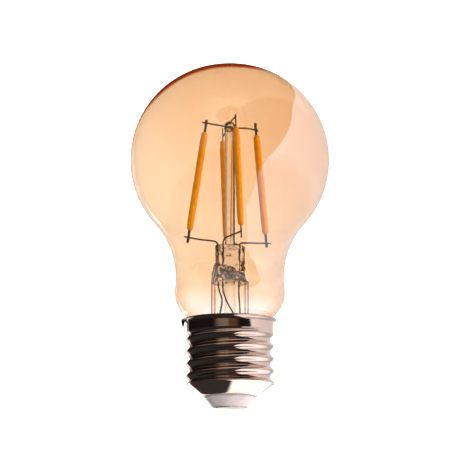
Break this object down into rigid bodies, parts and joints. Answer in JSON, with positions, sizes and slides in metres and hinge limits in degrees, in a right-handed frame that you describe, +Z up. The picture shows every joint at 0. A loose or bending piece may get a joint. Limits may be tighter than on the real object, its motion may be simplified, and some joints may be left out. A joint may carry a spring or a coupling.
{
  "type": "smart light bulb",
  "caption": "Amber-glass filament smart light bulb on an Edison screw cap, with LED filaments on a glass stem and a radio-controlled driver inside the cap.",
  "frame": {"origin": "centre of the flat face of the end contact, on the bulb's axis", "axes": "+Z up the bulb's axis from the end contact to the crown; -Y towards the front filament, +X towards the right filament"},
  "size_m": [0.0602, 0.0602, 0.1044],
  "materials": {
    "amber_glass": "clear amber-lacquered glass, gloss",
    "clear_glass": "clear glass, gloss",
    "nickel_wire": "drawn nickel-plated wire, lightly oxidised",
    "dumet": "copper-clad seal wire with a red oxide skin",
    "phosphor": "translucent orange silicone, satin",
    "substrate": "white alumina, matt",
    "led_chip": "blue sapphire dice, gloss",
    "tab_metal": "stamped strip, satin",
    "cap_metal": "bright nickel plate on brass",
    "insulator": "opaque white glass, semi-gloss",
    "contact_metal": "nickel-plated brass, satin",
    "cement": "basing cement, matt",
    "solder": "solder, dull",
    "copper_wire": "tinned copper wire, satin",
    "wire_insulation": "red silicone insulation, satin",
    "liner": "translucent film, satin",
    "circuit_board": "green solder mask on glass laminate",
    "radio_board": "blue solder mask on glass laminate",
    "tinplate": "bright tinned sheet",
    "antenna_ceramic": "white ceramic, matt",
    "gold_pin": "gold-plated brass",
    "can_aluminium": "drawn aluminium, satin",
    "sleeve_film": "black shrink film, gloss",
    "rubber_bung": "black rubber, matt",
    "ferrite": "dark grey ferrite, matt",
    "copper_winding": "enamelled copper wire, gloss",
    "chip_body": "black moulded epoxy, matt",
    "chip_ceramic": "chip components, satin",
    "resistor_body": "blue-grey lacquered ceramic, satin"
  },
  "bodies": {
    "root": {"glass_envelope": "amber_glass", "stem_flare": "clear_glass", "exhaust_tube": "clear_glass", "stem_rod": "clear_glass", "stem_bead": "clear_glass", "jumper_left_right": "nickel_wire", "jumper_front_back": "nickel_wire", "inner_lead_left": "nickel_wire", "inner_lead_front": "nickel_wire", "inner_lead_right": "nickel_wire", "inner_lead_back": "nickel_wire", "seal_wire_left": "dumet", "seal_wire_front": "dumet", "seal_wire_common": "dumet", "outer_lead_left": "nickel_wire", "outer_lead_front": "nickel_wire", "outer_lead_common": "nickel_wire", "lead_welds": "nickel_wire", "filament_left_coating": "phosphor", "filament_left_strip": "substrate", "filament_left_chips": "led_chip", "filament_left_tabs": "tab_metal", "filament_right_coating": "phosphor", "filament_right_strip": "substrate", "filament_right_chips": "led_chip", "filament_right_tabs": "tab_metal", "filament_front_coating": "phosphor", "filament_front_strip": "substrate", "filament_front_chips": "led_chip", "filament_front_tabs": "tab_metal", "filament_back_coating": "phosphor", "filament_back_strip": "substrate", "filament_back_chips": "led_chip", "filament_back_tabs": "tab_metal", "screw_shell": "cap_metal", "cap_insulator": "insulator", "centre_contact": "contact_metal", "cap_cement": "cement", "side_wire": "copper_wire", "side_solder": "solder", "centre_wire": "wire_insulation", "driver_liner": "liner", "driver_board": "circuit_board", "radio_board": "radio_board", "radio_shield": "tinplate", "radio_antenna": "antenna_ceramic", "board_pins": "gold_pin", "capacitor_can": "can_aluminium", "capacitor_sleeve": "sleeve_film", "capacitor_bung": "rubber_bung", "capacitor_legs": "tinplate", "choke_core": "ferrite", "choke_winding": "copper_winding", "bridge_rectifier": "chip_body", "driver_chip": "chip_body", "dimmer_transistors": "chip_body", "chip_resistors": "chip_ceramic", "lead_solder_joints": "solder", "fuse_resistor": "resistor_body"}
  },
  "joints": []
}
